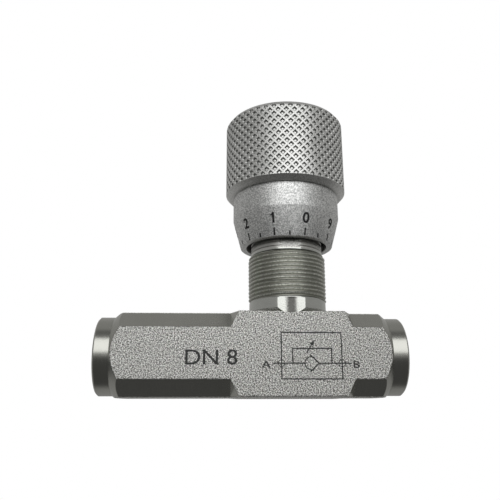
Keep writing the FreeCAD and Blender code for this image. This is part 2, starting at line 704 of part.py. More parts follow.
def main():
    valve_body()
    threaded_neck()
    torus("neck_o_ring", "(seal_inner + seal_outer) / 2", "neck_seal_wire",
          "spigot_floor + neck_seal_wire + gap / 2")
    throttle_seat()
    spindle_stop_ring()
    spindle_wiper()
    check_spring()
    spring_plate()
    spring_plate_circlip()
    throttle_needle()
    torus("needle_o_ring", "(stem_groove_radius + stem_bore) / 2 - gap / 4", "stem_seal_wire - gap / 4",
          "(stem_groove_floor + stem_groove_top) / 2")
    needle_backup_rings()
    adjusting_spindle()
    needle_clip()
    grip_knob()
    dial_sleeve()
    grub_screws("knob_set_screws", "tapping_radius - gap", "grub_length", "shaft_radius + gap",
                "grub_height")
    grub_screws("dial_set_screws", "dial_grub_radius - gap", "dial_grub_length",
                "sleeve_spigot_radius + gap", "dial_grub_height")
    ring("knob_washer", "tapping_radius + 2 * gap", "washer_radius", "grip_recess_floor + gap / 2",
         "grip_recess_floor + washer_height")
    knob_cap_screw()
    check_poppet()
    check_document()
    os.makedirs("parts", exist_ok=True)
    for piece in pieces:
        piece.Shape.exportStep(f"parts/{piece.Label}.step")
        box = piece.Shape.BoundBox
        print(f"{piece.Label:22s} solids {len(piece.Shape.Solids)} volume {piece.Shape.Volume:9.1f}"
              f"  x {box.XMin:6.2f} {box.XMax:6.2f}  y {box.YMin:6.2f} {box.YMax:6.2f}"
              f"  z {box.ZMin:6.2f} {box.ZMax:6.2f}")


main()
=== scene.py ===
"""Looks of the in-line throttle check valve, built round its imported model.

Lengths below are millimetres until a mesh is finished. The outer places, such as the port axis,
the front face and the ends of each turned part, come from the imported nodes' boxes. Places within
a part, which its box doesn't tell, are named values equal to the CAD's.
"""

import json
import math

import bmesh
import bpy
from mathutils import Matrix, Vector, noise

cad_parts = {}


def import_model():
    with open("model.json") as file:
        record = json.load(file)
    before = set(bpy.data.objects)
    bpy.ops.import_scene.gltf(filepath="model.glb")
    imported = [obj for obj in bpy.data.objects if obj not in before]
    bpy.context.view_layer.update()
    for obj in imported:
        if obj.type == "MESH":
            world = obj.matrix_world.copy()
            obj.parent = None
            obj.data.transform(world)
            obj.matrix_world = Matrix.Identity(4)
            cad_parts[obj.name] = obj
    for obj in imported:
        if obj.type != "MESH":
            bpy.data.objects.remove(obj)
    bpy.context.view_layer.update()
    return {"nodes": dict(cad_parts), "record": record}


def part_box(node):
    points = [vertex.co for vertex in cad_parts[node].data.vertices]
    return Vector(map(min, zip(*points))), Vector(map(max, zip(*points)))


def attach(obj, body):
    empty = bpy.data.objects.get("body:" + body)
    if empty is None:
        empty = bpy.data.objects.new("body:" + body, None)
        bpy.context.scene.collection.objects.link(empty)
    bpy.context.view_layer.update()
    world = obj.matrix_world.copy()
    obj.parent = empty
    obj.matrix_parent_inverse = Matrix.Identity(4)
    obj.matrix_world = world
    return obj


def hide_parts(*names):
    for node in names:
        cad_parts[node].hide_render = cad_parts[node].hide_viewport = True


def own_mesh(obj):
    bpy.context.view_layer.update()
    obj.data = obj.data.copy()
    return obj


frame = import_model()

MM = 0.001
WELD = 0.002               # vertices closer than this become one
TURNED_COLUMNS = 192       # columns of faces round a turned part
FULL_TURN = 2 * math.pi
QUARTER_TURN = math.pi / 2


def box_mm(node):
    """Lowest and highest corner of a CAD node, in millimetres."""
    low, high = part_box(node)
    return low / MM, high / MM


BODY_LOW, BODY_HIGH = box_mm("valve_body")
NECK_LOW, NECK_HIGH = box_mm("threaded_neck")
GRIP_LOW, GRIP_HIGH = box_mm("grip_knob")
DIAL_LOW, DIAL_HIGH = box_mm("dial_sleeve")
AXIS_HEIGHT = (BODY_LOW.z + BODY_HIGH.z) / 2
HALF_BAR = (BODY_HIGH.z - BODY_LOW.z) / 2
FRONT = BODY_LOW.y

# Places that a mesh and its material both follow.
THREAD_RADIUS = NECK_HIGH.x
THREAD_LOW, THREAD_HIGH = 23.8, 35.8
FLAT_REACH, FLAT_TOP = 9.2, 23.5
INDEX_PLANE = -8.85
GRIP_RADIUS = GRIP_HIGH.x
GRIP_BEVEL, GRIP_CHAMFER = 1.2, 1.0
KNURL_LOW = GRIP_LOW.z + GRIP_BEVEL
KNURL_HIGH = GRIP_HIGH.z - GRIP_CHAMFER - 0.25
KNURL_DEPTH = 0.42

# A 60 degree thread's form, in pitches from the middle of a crest.
CREST_END, ROOT_START = 0.0625, 0.375


# Meshes, drawn in millimetres ------------------------------------------------------------------

def ring(bm, radius, height, angles):
    """A closed ring of vertices about +Z."""
    return [bm.verts.new((radius * math.cos(a), radius * math.sin(a), height)) for a in angles]


def skin(bm, lower, upper):
    """Quads between two rings of equal count."""
    count = len(lower)
    for i in range(count):
        j = (i + 1) % count
        bm.faces.new((lower[i], lower[j], upper[j], upper[i]))


def even_angles(count=TURNED_COLUMNS):
    """Angles spaced evenly round a full turn, in radians."""
    return [FULL_TURN * i / count for i in range(count)]


def turned(profile):
    """A solid turned from a closed profile of (radius, height) points."""
    bm = bmesh.new()
    angles = even_angles()
    rings = [ring(bm, radius, height, angles) for radius, height in profile]
    for lower, upper in zip(rings, rings[1:] + rings[:1]):
        skin(bm, lower, upper)
    return bm


def eased(profile, ease):
    """The same closed profile with each corner cut by a small bevel."""
    points = []
    for i, point in enumerate(profile):
        here = Vector(point)
        for other in (profile[i - 1], profile[(i + 1) % len(profile)]):
            away = Vector(other) - here
            points.append(here + away.normalized() * min(ease, away.length / 3))
    return [tuple(p) for p in points]


def thread_wave(turn):
    """Height of the thread form, 0 at the root and 1 at the crest, against turns."""
    from_crest = abs((turn + 0.5) % 1 - 0.5)
    return min(1, max(0, (ROOT_START - from_crest) / (ROOT_START - CREST_END)))


def helical_band(bm, low, high, pitch, radius_at, angles):
    """A threaded band whose rows of vertices follow the helix. Returns its end rings.

    radius_at(turn, height) gives the radius, where turn counts pitches from a crest.
    """
    stops = (0, CREST_END, 0.22, ROOT_START, 0.5, 1 - ROOT_START, 0.78, 1 - CREST_END)
    turns = math.ceil((high - low) / pitch) + 1
    columns = []
    for angle in angles:
        column = []
        for turn in range(-1, turns + 1):
            for stop in stops:
                height = low + pitch * (turn + stop + angle / FULL_TURN)
                held = min(high, max(low, height))
                radius = radius_at((held - low) / pitch - angle / FULL_TURN, held)
                place = (radius * math.cos(angle), radius * math.sin(angle), held)
                column.append(bm.verts.new(place))
        columns.append(column)
    for i, column in enumerate(columns):
        last = i + 1 == len(columns)
        beside = columns[(i + 1) % len(columns)]
        shift = len(stops) if last else 0
        for k in range(len(column) - 1 - shift):
            bm.faces.new((column[k], beside[k + shift], beside[k + 1 + shift], column[k + 1]))
    return [column[0] for column in columns], [column[-1] for column in columns]


def carved(bm, cutters):
    """The mesh with each closed cutter taken away."""
    def as_object(mesh_data):
        bmesh.ops.remove_doubles(mesh_data, verts=mesh_data.verts, dist=WELD)
        bmesh.ops.dissolve_degenerate(mesh_data, edges=mesh_data.edges, dist=WELD / 4)
        bmesh.ops.recalc_face_normals(mesh_data, faces=mesh_data.faces)
        mesh = bpy.data.meshes.new("scratch")
        mesh_data.to_mesh(mesh)
        mesh_data.free()
        scratch = bpy.data.objects.new("scratch", mesh)
        bpy.context.scene.collection.objects.link(scratch)
        return scratch

    main = as_object(bm)
    tools = [as_object(cutter) for cutter in cutters]
    for tool in tools:
        modifier = main.modifiers.new("cut", "BOOLEAN")
        modifier.operation = "DIFFERENCE"
        modifier.solver = "EXACT"
        modifier.object = tool
    depsgraph = bpy.context.evaluated_depsgraph_get()
    result = bmesh.new()
    result.from_mesh(main.evaluated_get(depsgraph).to_mesh())
    for scratch in [main, *tools]:
        bpy.data.objects.remove(scratch)
    return result


def block(low, high):
    """A closed box between two corners."""
    bm = bmesh.new()
    bmesh.ops.create_cube(bm, size=1)
    centre = (Vector(low) + Vector(high)) / 2
    for vertex in bm.verts:
        vertex.co = centre + vertex.co * (Vector(high) - Vector(low))
    return bm


def rod(radius, start, end):
    """A closed cylinder between two points."""
    bm = bmesh.new()
    along = Vector(end) - Vector(start)
    turn = along.to_track_quat("Z", "Y").to_matrix().to_4x4()
    place = Matrix.Translation((Vector(start) + Vector(end)) / 2) @ turn
    bmesh.ops.create_cone(bm, cap_ends=True, segments=48, radius1=radius, radius2=radius,
                          depth=along.length, matrix=place)
    return bm


def finish_piece(name, bm, body, material, replaced=(), sharp=15):
    """Turn a mesh drawn in millimetres into a piece that rides on a CAD body."""
    bmesh.ops.remove_doubles(bm, verts=bm.verts, dist=WELD)
    bmesh.ops.dissolve_degenerate(bm, edges=bm.edges, dist=WELD / 4)
    bmesh.ops.recalc_face_normals(bm, faces=bm.faces)
    bmesh.ops.scale(bm, vec=(MM, MM, MM), verts=bm.verts)
    mesh = bpy.data.meshes.new(name)
    bm.to_mesh(mesh)
    bm.free()
    mesh.materials.append(material)
    mesh.shade_smooth()
    mesh.set_sharp_from_angle(angle=math.radians(sharp))
    piece = bpy.data.objects.new(name, mesh)
    bpy.context.scene.collection.objects.link(piece)
    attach(piece, body)
    if replaced:
        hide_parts(*replaced)
    return piece


# Materials -------------------------------------------------------------------------------------

class Nodes:
    """Adds nodes to a shader tree. Its calls return the new nodes' output sockets."""

    def __init__(self, tree):
        self.tree = tree

    def add(self, kind, *values, out=0, named=None, **options):
        """A node with its inputs filled in order, or by name."""
        node = self.tree.nodes.new("ShaderNode" + kind)
        for option, value in options.items():
            setattr(node, option, value)
        pairs = [*zip(node.inputs, values)]
        pairs += [(node.inputs[socket], value) for socket, value in (named or {}).items()]
        for socket, value in pairs:
            if isinstance(value, bpy.types.NodeSocket):
                self.tree.links.new(value, socket)
            elif value is not None:
                socket.default_value = value
        return node.outputs[out]

    def math(self, operation, a, b=0.0, c=0.0):
        return self.add("Math", a, b, c, operation=operation)

    def mixed(self, factor, low, high):
        """A number between two others."""
        return self.add("Mix", factor, None, low, high)

    def spread(self, value, low, high, to_low=0.0, to_high=1.0):
        """Value mapped smoothly from one range to another."""
        return self.add("MapRange", value, low, high, to_low, to_high,
                        interpolation_type="SMOOTHSTEP")


class Finish(Nodes):
    """One procedural material, which follows places on its object."""

    def __init__(self, name, **settings):
        self.material = bpy.data.materials.new(name)
        self.material.use_nodes = True
        super().__init__(self.material.node_tree)
        self.shader = self.tree.nodes["Principled BSDF"]
        for socket, value in settings.items():
            self.shader.inputs[socket.replace("_", " ").title()].default_value = value
        self.place = self.add("TexCoord", out="Object")

    def noise(self, grains, detail=2.0, place=None, rough=0.5, warp=0.0):
        """Noise from 0 to 1 with so many grains to the millimetre."""
        named = {"Scale": grains / MM, "Detail": detail, "Roughness": rough, "Distortion": warp}
        return self.add("TexNoise", place or self.place, out="Fac", named=named)

    def past(self, place, start, end):
        """0 before one place, in millimetres, and 1 past another."""
        return self.spread(place, start * MM, end * MM)

    def blend(self, factor, low, high):
        """A colour between two others."""
        return self.add("Mix", out=2, data_type="RGBA",
                        named={0: factor, 6: opaque(low), 7: opaque(high)})

    def split(self, centre=(0.0, 0.0, 0.0)):
        """The place's three coordinates, in metres, measured from a centre in millimetres."""
        moved = self.add("VectorMath", self.place, Vector(centre) * -MM, operation="ADD")
        node = self.add("SeparateXYZ", moved).node
        return node.outputs[0], node.outputs[1], node.outputs[2]

    def hypot(self, a, b):
        return self.math("SQRT", self.add("Math", a, a, self.math("MULTIPLY", b, b),
                                          operation="MULTIPLY_ADD"))

    def turned_lines(self, along, radius, lines):
        """Noise drawn out into rings about an axis, so many to the millimetre, as a lathe leaves."""
        rings = self.add("CombineXYZ", along, radius, 0.0)
        return self.noise(lines, 3.0, place=rings, rough=0.6)

    def bump(self, height, strength, depth, below=None):
        """A normal from a height, with the depth of its relief in millimetres."""
        return self.add("Bump", strength, depth * MM, named={"Height": height, "Normal": below})

    def put(self, colour=None, roughness=None, normal=None):
        """Connect the finished sockets to the shader."""
        for socket, value in (("Base Color", colour), ("Roughness", roughness),
                              ("Normal", normal)):
            if value is not None:
                self.tree.links.new(value, self.shader.inputs[socket])
        return self.material


def opaque(colour):
    """A colour with an alpha of 1, or the socket as it is."""
    return colour if isinstance(colour, bpy.types.NodeSocket) else (*colour, 1.0)


def plated_body():
    """Blasted flats, ground chamfers and polished turned ends, under one grey plating."""
    f = Finish("body_plating", metallic=1.0)
    along, across, up = f.split((0, 0, AXIS_HEIGHT))
    radius = f.hypot(across, up)
    outward = f.math("MAXIMUM", f.math("ABSOLUTE", across), f.math("ABSOLUTE", up))
    flat = f.past(outward, HALF_BAR - 0.12, HALF_BAR - 0.04)
    grain = f.noise(3.1, 3.0, rough=0.8)
    pits = f.noise(5.0, 2.0, rough=0.7)
    blasted = f.math("ADD", grain, f.math("MULTIPLY", pits, 0.8))
    lines = f.turned_lines(along, radius, 7.0)
    cloud = f.noise(0.16, 3.0)
    speckle = f.spread(blasted, 0.85, 0.94)
    flat_colour = f.blend(speckle, (0.10, 0.10, 0.09), (0.97, 0.97, 0.94))
    smooth_colour = f.blend(f.math("MULTIPLY_ADD", lines, 0.5, f.math("MULTIPLY", cloud, 0.5)),
                            (0.42, 0.425, 0.39), (0.56, 0.56, 0.525))
    colour = f.blend(flat, smooth_colour, flat_colour)
    smooth_rough = f.mixed(lines, 0.16, 0.30)
    flat_rough = f.mixed(speckle, 0.56, 0.38)
    roughness = f.mixed(flat, smooth_rough, flat_rough)
    relief = f.mixed(flat, f.math("MULTIPLY", lines, 0.03), blasted)
    return f.put(colour, roughness, f.bump(relief, 0.6, 0.16))


def turned_steel():
    """Bright turned steel, a little green, darker in the thread's roots.

    Its spanner flats carry a painted dark reflection down the middle, brushed in texture, and its
    top is ringed and duller.
    """
    f = Finish("neck_steel", metallic=1.0)
    across, deep, along = f.split()
    radius = f.hypot(across, deep)
    lines = f.turned_lines(along, radius, 6.0)
    stain = f.noise(0.35, 4.0)
    brushed = f.noise(2.6, 3.0, rough=0.65)
    root = f.past(radius, THREAD_RADIUS - 0.50, THREAD_RADIUS - 0.05)
    threaded = f.math("MULTIPLY", f.past(along, THREAD_LOW - 0.1, THREAD_LOW + 0.1),
                      f.past(along, THREAD_HIGH + 0.1, THREAD_HIGH - 0.1))
    # The thread's roots are coloured darker.
    root_darkening = f.math("MULTIPLY", threaded, f.math("SUBTRACT", 1.0, root))
    clean = f.blend(stain, (0.50, 0.515, 0.485), (0.64, 0.65, 0.62))
    torn = f.noise(0.8, 4.0, rough=0.7, warp=0.6)
    crests = f.blend(f.spread(brushed, 0.35, 0.65), (0.50, 0.51, 0.47), (0.95, 0.96, 0.90))
    colour = f.blend(root_darkening, f.blend(threaded, clean, crests), (0.31, 0.315, 0.275))
    on_flat = f.math("MULTIPLY",
                     f.past(f.math("ABSOLUTE", deep), FLAT_REACH - 0.06, FLAT_REACH - 0.02),
                     f.past(along, FLAT_TOP + 0.1, FLAT_TOP))
    ragged = f.math("MULTIPLY_ADD", brushed, 1.6 * MM, -0.8 * MM)
    sides = f.past(f.math("ADD", f.math("ABSOLUTE", across), ragged), 0.5, 1.7)
    # Painted dark reflection down the middle of each spanner flat, a brushed dark grey; the flat's
    # sides keep the steel's colour.
    flat_middle_painted_dark = f.math("MULTIPLY", on_flat, f.math("SUBTRACT", 1.0, sides))
    colour = f.blend(flat_middle_painted_dark, colour, f.blend(brushed, (0.10, 0.10, 0.096), (0.32, 0.32, 0.30)))
    top = f.past(along, THREAD_HIGH + 0.3, THREAD_HIGH + 0.6)
    index = f.past(deep, INDEX_PLANE + 0.01, INDEX_PLANE - 0.01)
    worn = f.mixed(index, 1.0, f.mixed(f.spread(brushed, 0.42, 0.58), 0.10, 0.80))
    ringed = f.blend(brushed, (0.50, 0.50, 0.48), (0.80, 0.80, 0.77))
    colour = f.blend(top, colour, f.blend(worn, (0.03, 0.03, 0.03), ringed))
    plain = f.mixed(flat_middle_painted_dark, f.mixed(lines, 0.12, 0.24), 0.55)
    roughness = f.mixed(threaded, f.mixed(top, plain, 0.34), f.mixed(stain, 0.32, 0.46))
    torn = f.math("MULTIPLY", torn, threaded)
    scratches = f.bump(f.math("ADD", lines, stain), 0.4, 0.025)
    return f.put(colour, roughness, f.bump(torn, 0.6, 0.22, below=scratches))


def blasted_aluminium(name, low, high, sparkle, rough, knurled=False):
    """Satin aluminium: fine bead-blasted grain, with painted shade on the walls of a knurl's pits.
    """
    f = Finish(name, metallic=1.0)
    across, deep, height = f.split()
    grain = f.noise(3.4, 3.0, rough=0.75)
    fine = f.noise(8.0, 2.0)
    cloud = f.noise(0.12, 3.0)
    tone = f.math("MULTIPLY_ADD", grain, sparkle, f.math("MULTIPLY", cloud, 1 - sparkle))
    colour = f.blend(f.spread(tone, 0.44, 0.57), low, high)
    roughness = f.mixed(fine, rough - 0.06, rough + 0.06)
    if knurled:
        radius = f.hypot(across, deep)
        pit = GRIP_RADIUS - KNURL_DEPTH
        pit_wall_shade = f.math("MULTIPLY", f.past(radius, pit + 0.01, pit + 0.08),
                       f.past(radius, GRIP_RADIUS - 0.03, GRIP_RADIUS - 0.14))
        rows = f.math("MULTIPLY", f.past(height, KNURL_LOW, KNURL_LOW + 0.05),
                      f.past(height, KNURL_HIGH, KNURL_HIGH - 0.05))
        # Painted shade: the knurl's pit walls darkened to 0.58 of the low colour.
        colour = f.blend(f.math("MULTIPLY", pit_wall_shade, rows), colour, tuple(c * 0.58 for c in low))
    relief = f.math("ADD", grain, f.math("MULTIPLY", fine, 0.5))
    return f.put(colour, roughness, f.bump(relief, 0.45, 0.06))


def ground_steel(name, low, high, rough_low, rough_high):
    """Machined steel with fine tool lines about +Z."""
    f = Finish(name, metallic=1.0)
    across, deep, along = f.split()
    rings = f.turned_lines(along, f.hypot(across, deep), 8.0)
    cloud = f.noise(0.4, 3.0)
    colour = f.blend(f.math("MULTIPLY_ADD", rings, 0.6, f.math("MULTIPLY", cloud, 0.4)), low, high)
    return f.put(colour, f.mixed(rings, rough_low, rough_high), f.bump(rings, 0.3, 0.01))


def black_oxide():
    """Black-oxide screws, rubbed bare in small spots."""
    f = Finish("screw_black", metallic=0.85)
    spots = f.spread(f.noise(1.6, 5.0, rough=0.7), 0.58, 0.72)
    haze = f.noise(5.0, 2.0)
    colour = f.blend(spots, (0.022, 0.022, 0.024), (0.11, 0.105, 0.10))
    return f.put(colour, f.mixed(haze, 0.30, 0.50), f.bump(haze, 0.3, 0.015))


def moulded(name, low, high, rough_low, rough_high):
    """Rubber or plastic with a faint moulded grain and a bloom of dust."""
    f = Finish(name, metallic=0.0)
    bloom = f.noise(0.5, 4.0, rough=0.65)
    grain = f.noise(2.5, 2.0)
    return f.put(f.blend(bloom, low, high), f.mixed(grain, rough_low, rough_high),
                 f.bump(grain, 0.4, 0.02))


def ink(name, low, high):
    """Dark paint of a mark, thin in places."""
    f = Finish(name, metallic=0.0)
    thin = f.spread(f.noise(4.0, 4.0, rough=0.7), 0.52, 0.75)
    grain = f.noise(9.0, 2.0)
    return f.put(f.blend(thin, low, high), f.mixed(grain, 0.45, 0.7), f.bump(grain, 0.3, 0.01))


FINISHES = {
    "body_plating": plated_body(),
    "neck_steel": turned_steel(),
    "grip_aluminium": blasted_aluminium("grip_aluminium", (0.60, 0.61, 0.59), (0.88, 0.88, 0.87),
                                        0.75, 0.43, knurled=True),
    "dial_aluminium": blasted_aluminium("dial_aluminium", (0.44, 0.45, 0.445),
                                        (0.98, 0.985, 0.975), 0.9, 0.45),
    "hardened_steel": ground_steel("hardened_steel", (0.36, 0.35, 0.34), (0.50, 0.49, 0.47),
                                   0.16, 0.32),
    "spring_steel": ground_steel("spring_steel", (0.28, 0.27, 0.255), (0.44, 0.43, 0.41),
                                 0.22, 0.40),
    "screw_black": black_oxide(),
    "seal_rubber": moulded("seal_rubber", (0.012, 0.012, 0.013), (0.035, 0.035, 0.037), 0.42, 0.62),
    "seal_white": moulded("seal_white", (0.70, 0.69, 0.65), (0.82, 0.81, 0.78), 0.35, 0.5),
    "wiper_brown": moulded("wiper_brown", (0.16, 0.075, 0.04), (0.24, 0.12, 0.07), 0.38, 0.55),
    "washer_zinc": ground_steel("washer_zinc", (0.52, 0.54, 0.56), (0.66, 0.67, 0.68), 0.20, 0.36),
    "dial_ink": ink("dial_ink", (0.008, 0.008, 0.009), (0.06, 0.06, 0.06)),
    "etched_line": ink("etched_line", (0.035, 0.035, 0.034), (0.12, 0.12, 0.115)),
}


def finish_cad_nodes():
    """Give every carried-over CAD node the finish that its record's slot names."""
    for subpart in frame["record"]["subparts"]:
        mesh = frame["nodes"][subpart["node"]].data
        mesh.materials.clear()
        mesh.materials.append(FINISHES[subpart["material_slot"]])


# The neck --------------------------------------------------------------------------------------

def neck():
    """Smooth band with spanner flats, M20 x 1 thread, and a ringed stem with an index flat."""
    pitch, depth, chamfer = 1.0, 0.46, 0.7
    tear, tear_grain = 0.08, 7
    band, band_low, relief, clear = 9.8, 20.95, 9.5, 12.0
    foot, foot_height, spigot = 9.25, 19.6, 8.0
    seal_bore, seal_roof, stem_bore = 4.5, 17.6, 3.05
    spindle_bore, spindle_floor = 5.0, 30.0
    wiper_bore, wiper_floor = 5.5, 49.0
    stem, groove, groove_mouth, groove_floor, edge = 9.23, 0.3, 0.2, 0.06, 0.3
    flat_low, index_top = 19.0, 48.0
    bm = bmesh.new()
    angles = even_angles()

    def radius_at(turn, height):
        crest = min(THREAD_RADIUS, THREAD_RADIUS - chamfer + (THREAD_HIGH - height))
        around = turn * FULL_TURN
        place = Vector((tear_grain * math.cos(around), tear_grain * math.sin(around), height))
        form = thread_wave(turn + tear * noise.noise(place))
        return min(crest, THREAD_RADIUS - depth * (1 - form))

    bottom, top = helical_band(bm, THREAD_LOW, THREAD_HIGH, pitch, radius_at, angles)
    below = [(relief, THREAD_LOW), (relief, THREAD_LOW - 0.3), (band, THREAD_LOW - 0.4),
             (band, band_low), (foot, foot_height), (spigot, foot_height), (spigot, NECK_LOW.z),
             (seal_bore, NECK_LOW.z), (seal_bore, seal_roof), (stem_bore, seal_roof),
             (stem_bore, spindle_floor), (spindle_bore, spindle_floor),
             (spindle_bore, wiper_floor)]
    above = [(stem, THREAD_HIGH)]
    height = THREAD_HIGH + 0.9
    while height < NECK_HIGH.z - 1:
        above += [(stem, height - groove_mouth), (stem - groove, height - groove_floor),
                  (stem - groove, height + groove_floor), (stem, height + groove_mouth)]
        height += pitch
    above += [(stem, NECK_HIGH.z - edge), (stem - edge, NECK_HIGH.z), (wiper_bore, NECK_HIGH.z),
              (wiper_bore, wiper_floor)]
    for start, chain in ((bottom, below), (top, above)):
        last = start
        for radius, level in chain:
            following = ring(bm, radius, level, angles)
            skin(bm, last, following)
            last = following
    skin(bm, last, ring(bm, spindle_bore, wiper_floor, angles))
    cutters = [block((-band, side * FLAT_REACH, flat_low), (band, side * clear, FLAT_TOP))
               for side in (-1, 1)]
    cutters.append(block((-band, -clear, THREAD_HIGH + 0.05), (band, INDEX_PLANE, index_top)))
    bm = carved(bm, cutters)
    finish_piece("neck_threaded", bm, "valve", FINISHES["neck_steel"],
                 ["threaded_neck"])


# The knurled grip ------------------------------------------------------------------------------

def knurl(bm):
    """A diamond knurl: two sets of ridges at 45 degrees with a pyramid pit in each diamond."""
    count, pitch, phase, level = 47, 2.17, 0.03, 54.62
    stops = (0.15, 0.34, 0.66, 0.85)
    steps = len(stops)
    around = 2 * steps * count
    half_rows = math.ceil(2 * steps * (KNURL_HIGH - KNURL_LOW) / pitch) + 4 * steps

    def stop_at(index):
        return index // steps + stops[index % steps]

    grid = {}
    for difference in range(-half_rows, half_rows):
        for total in range(difference % 2, around, 2):
            a = (total + difference) // 2
            b = (total - difference) // 2
            turn = (stop_at(a) + stop_at(b)) / 2
            height = level + pitch * (stop_at(a) - stop_at(b)) / 2
            if not KNURL_LOW - pitch / 2 < height < KNURL_HIGH + pitch / 2:
                continue
            in_pit = a % steps in (1, 2) and b % steps in (1, 2)
            reach = GRIP_RADIUS - KNURL_DEPTH if in_pit else GRIP_RADIUS
            angle = FULL_TURN * (turn - 0.5 + phase) / count - QUARTER_TURN
            place = (reach * math.cos(angle), reach * math.sin(angle), height)
            grid[difference, total % around] = bm.verts.new(place)
    for (difference, total), corner in list(grid.items()):
        others = [(difference + 1, total + 1), (difference, total + 2), (difference - 1, total + 1)]
        keys = [(d, t % around) for d, t in others]
        if all(key in grid for key in keys):
            bm.faces.new([corner] + [grid[key] for key in keys])
    for height, above in ((KNURL_LOW, False), (KNURL_HIGH, True)):
        geometry = bm.verts[:] + bm.edges[:] + bm.faces[:]
        bmesh.ops.bisect_plane(bm, geom=geometry, dist=1e-5, plane_co=(0, 0, height),
                               plane_no=(0, 0, 1), clear_outer=above, clear_inner=not above)


def follow(bm, edges, profile):
    """Draw a boundary loop out through (radius, height) points. Returns its last edges."""
    for radius, height in profile:
        made = bmesh.ops.extrude_edge_only(bm, edges=edges)["geom"]
        for vertex in (item for item in made if isinstance(item, bmesh.types.BMVert)):
            outward = Vector((vertex.co.x, vertex.co.y, 0)).normalized()
            vertex.co = outward * radius + Vector((0, 0, height))
        edges = [item for item in made if isinstance(item, bmesh.types.BMEdge)
                 and abs(item.verts[0].co.z - height) < WELD
                 and abs(item.verts[1].co.z - height) < WELD and item.is_boundary]
    return edges


def grip():
    """The knurled grip with its bore, its hollow for the dial sleeve and its screw holes."""
    shaft, hub, socket, recess = 3.525, 7.0, 12.525, 5.2
    hub_floor, roof, recess_floor = 53.5, 57.0, 70.3
    bore_low, bore_high = 60.0, 62.0
    screw_holes = ((2.0, 63.0, 1.0), (1.5, 54.9, 10.0))
    low, high = KNURL_LOW, GRIP_HIGH.z - GRIP_CHAMFER
    bevel_foot, chamfer_top = GRIP_RADIUS - GRIP_BEVEL, GRIP_RADIUS - GRIP_CHAMFER
    bm = bmesh.new()
    knurl(bm)
    border = [edge for edge in bm.edges if edge.is_boundary]
    lower = [edge for edge in border if edge.verts[0].co.z < (low + high) / 2]
    upper = [edge for edge in border if edge.verts[0].co.z > (low + high) / 2]
    inner = follow(bm, lower, [
        (GRIP_RADIUS - 0.03, low - 0.04), (bevel_foot + 0.1, GRIP_LOW.z + 0.04),
        (bevel_foot - 0.1, GRIP_LOW.z),
        (socket + 0.15, GRIP_LOW.z), (socket, GRIP_LOW.z + 0.15), (socket, roof), (hub, roof),
        (hub, hub_floor), (shaft, hub_floor), (shaft, bore_low)])
    outer = follow(bm, upper, [
        (GRIP_RADIUS - 0.06, high - 0.1), (GRIP_RADIUS - 0.25, high + 0.1),
        (chamfer_top + 0.15, GRIP_HIGH.z - 0.08), (chamfer_top - 0.15, GRIP_HIGH.z),
        (recess + 0.2, GRIP_HIGH.z), (recess, GRIP_HIGH.z - 0.2), (recess, recess_floor),
        (shaft, recess_floor), (shaft, bore_high)])
    bmesh.ops.bridge_loops(bm, edges=inner + outer)
    holes = []
    for azimuth in (math.radians(45), math.radians(135)):
        out = Vector((math.cos(azimuth), math.sin(azimuth), 0))
        for radius, height, start in screw_holes:
            level = Vector((0, 0, height))
            holes.append(rod(radius, level + out * start, level + out * (GRIP_RADIUS + 2)))
    bm = carved(bm, holes)
    finish_piece("grip_knurled", bm, "knob", FINISHES["grip_aluminium"],
                 ["grip_knob"], sharp=25)


# The dial --------------------------------------------------------------------------------------

DIAL_RIM = 12.0
DIAL_CONE_TOP = 45.77
DIAL_RADIUS = DIAL_HIGH.x
DIAL_NUMBERS = 10
CAP_SHARE = 0.7            # height of a capital over the size of its font
MARK_PROUD = 0.02
MARK_SUNK = 0.05


def dial():
    """The dial sleeve: a tapered skirt and the sleeve that fits inside the grip."""
    bore, sleeve, shoulder, edge = 10.5, 12.5, GRIP_LOW.z, 0.12
    profile = [(bore, DIAL_LOW.z), (DIAL_RIM, DIAL_LOW.z), (DIAL_RADIUS, DIAL_CONE_TOP),
               (DIAL_RADIUS, shoulder), (sleeve, shoulder), (sleeve, DIAL_HIGH.z),
               (bore, DIAL_HIGH.z)]
    bm = turned(eased(profile, edge))
    finish_piece("dial_sleeve_turned", bm, "knob", FINISHES["dial_aluminium"],
                 ["dial_sleeve"])


def on_cone(point, azimuth):
    """A point drawn flat (sideways, up the slant, proud) laid on the dial's cone."""
    rise = Vector((DIAL_RADIUS - DIAL_RIM, DIAL_CONE_TOP - DIAL_LOW.z))
    slant = rise.normalized()
    radius = DIAL_RIM + slant.x * point.y
    angle = azimuth + point.x / radius
    reach = radius + slant.y * point.z
    height = DIAL_LOW.z + slant.y * point.y - slant.x * point.z
    return Vector((reach * math.cos(angle), reach * math.sin(angle), height))


def lettering(text, cap_height, weight):
    """Text as a thin closed slab, centred sideways, with its foot on the baseline."""
    curve = bpy.data.curves.new("scratch", "FONT")
    curve.body = text
    curve.size = cap_height / CAP_SHARE
    curve.offset = weight
    curve.align_x = "CENTER"
    curve.resolution_u = 6
    curve.extrude = (MARK_PROUD + MARK_SUNK) / 2
    scratch = bpy.data.objects.new("scratch", curve)
    bpy.context.scene.collection.objects.link(scratch)
    depsgraph = bpy.context.evaluated_depsgraph_get()
    bm = bmesh.new()
    bm.from_mesh(scratch.evaluated_get(depsgraph).to_mesh())
    bpy.data.objects.remove(scratch)
    bmesh.ops.translate(bm, vec=(0, 0, (MARK_PROUD - MARK_SUNK) / 2), verts=bm.verts)
    bmesh.ops.remove_doubles(bm, verts=bm.verts, dist=WELD / 4)
    return bm


def add_to(bm, other):
    """Copy another mesh into this one."""
    scratch = bpy.data.meshes.new("scratch")
    other.to_mesh(scratch)
    other.free()
    bm.from_mesh(scratch)
    bpy.data.meshes.remove(scratch)


def make_bendable(bm, longest):
    """Cut the edges longer than a length, three times over, and the faces into triangles."""
    for _ in range(3):
        long_edges = [edge for edge in bm.edges if edge.calc_length() > longest]
        if long_edges:
            bmesh.ops.subdivide_edges(bm, edges=long_edges, cuts=1)
    bmesh.ops.triangulate(bm, faces=bm.faces)


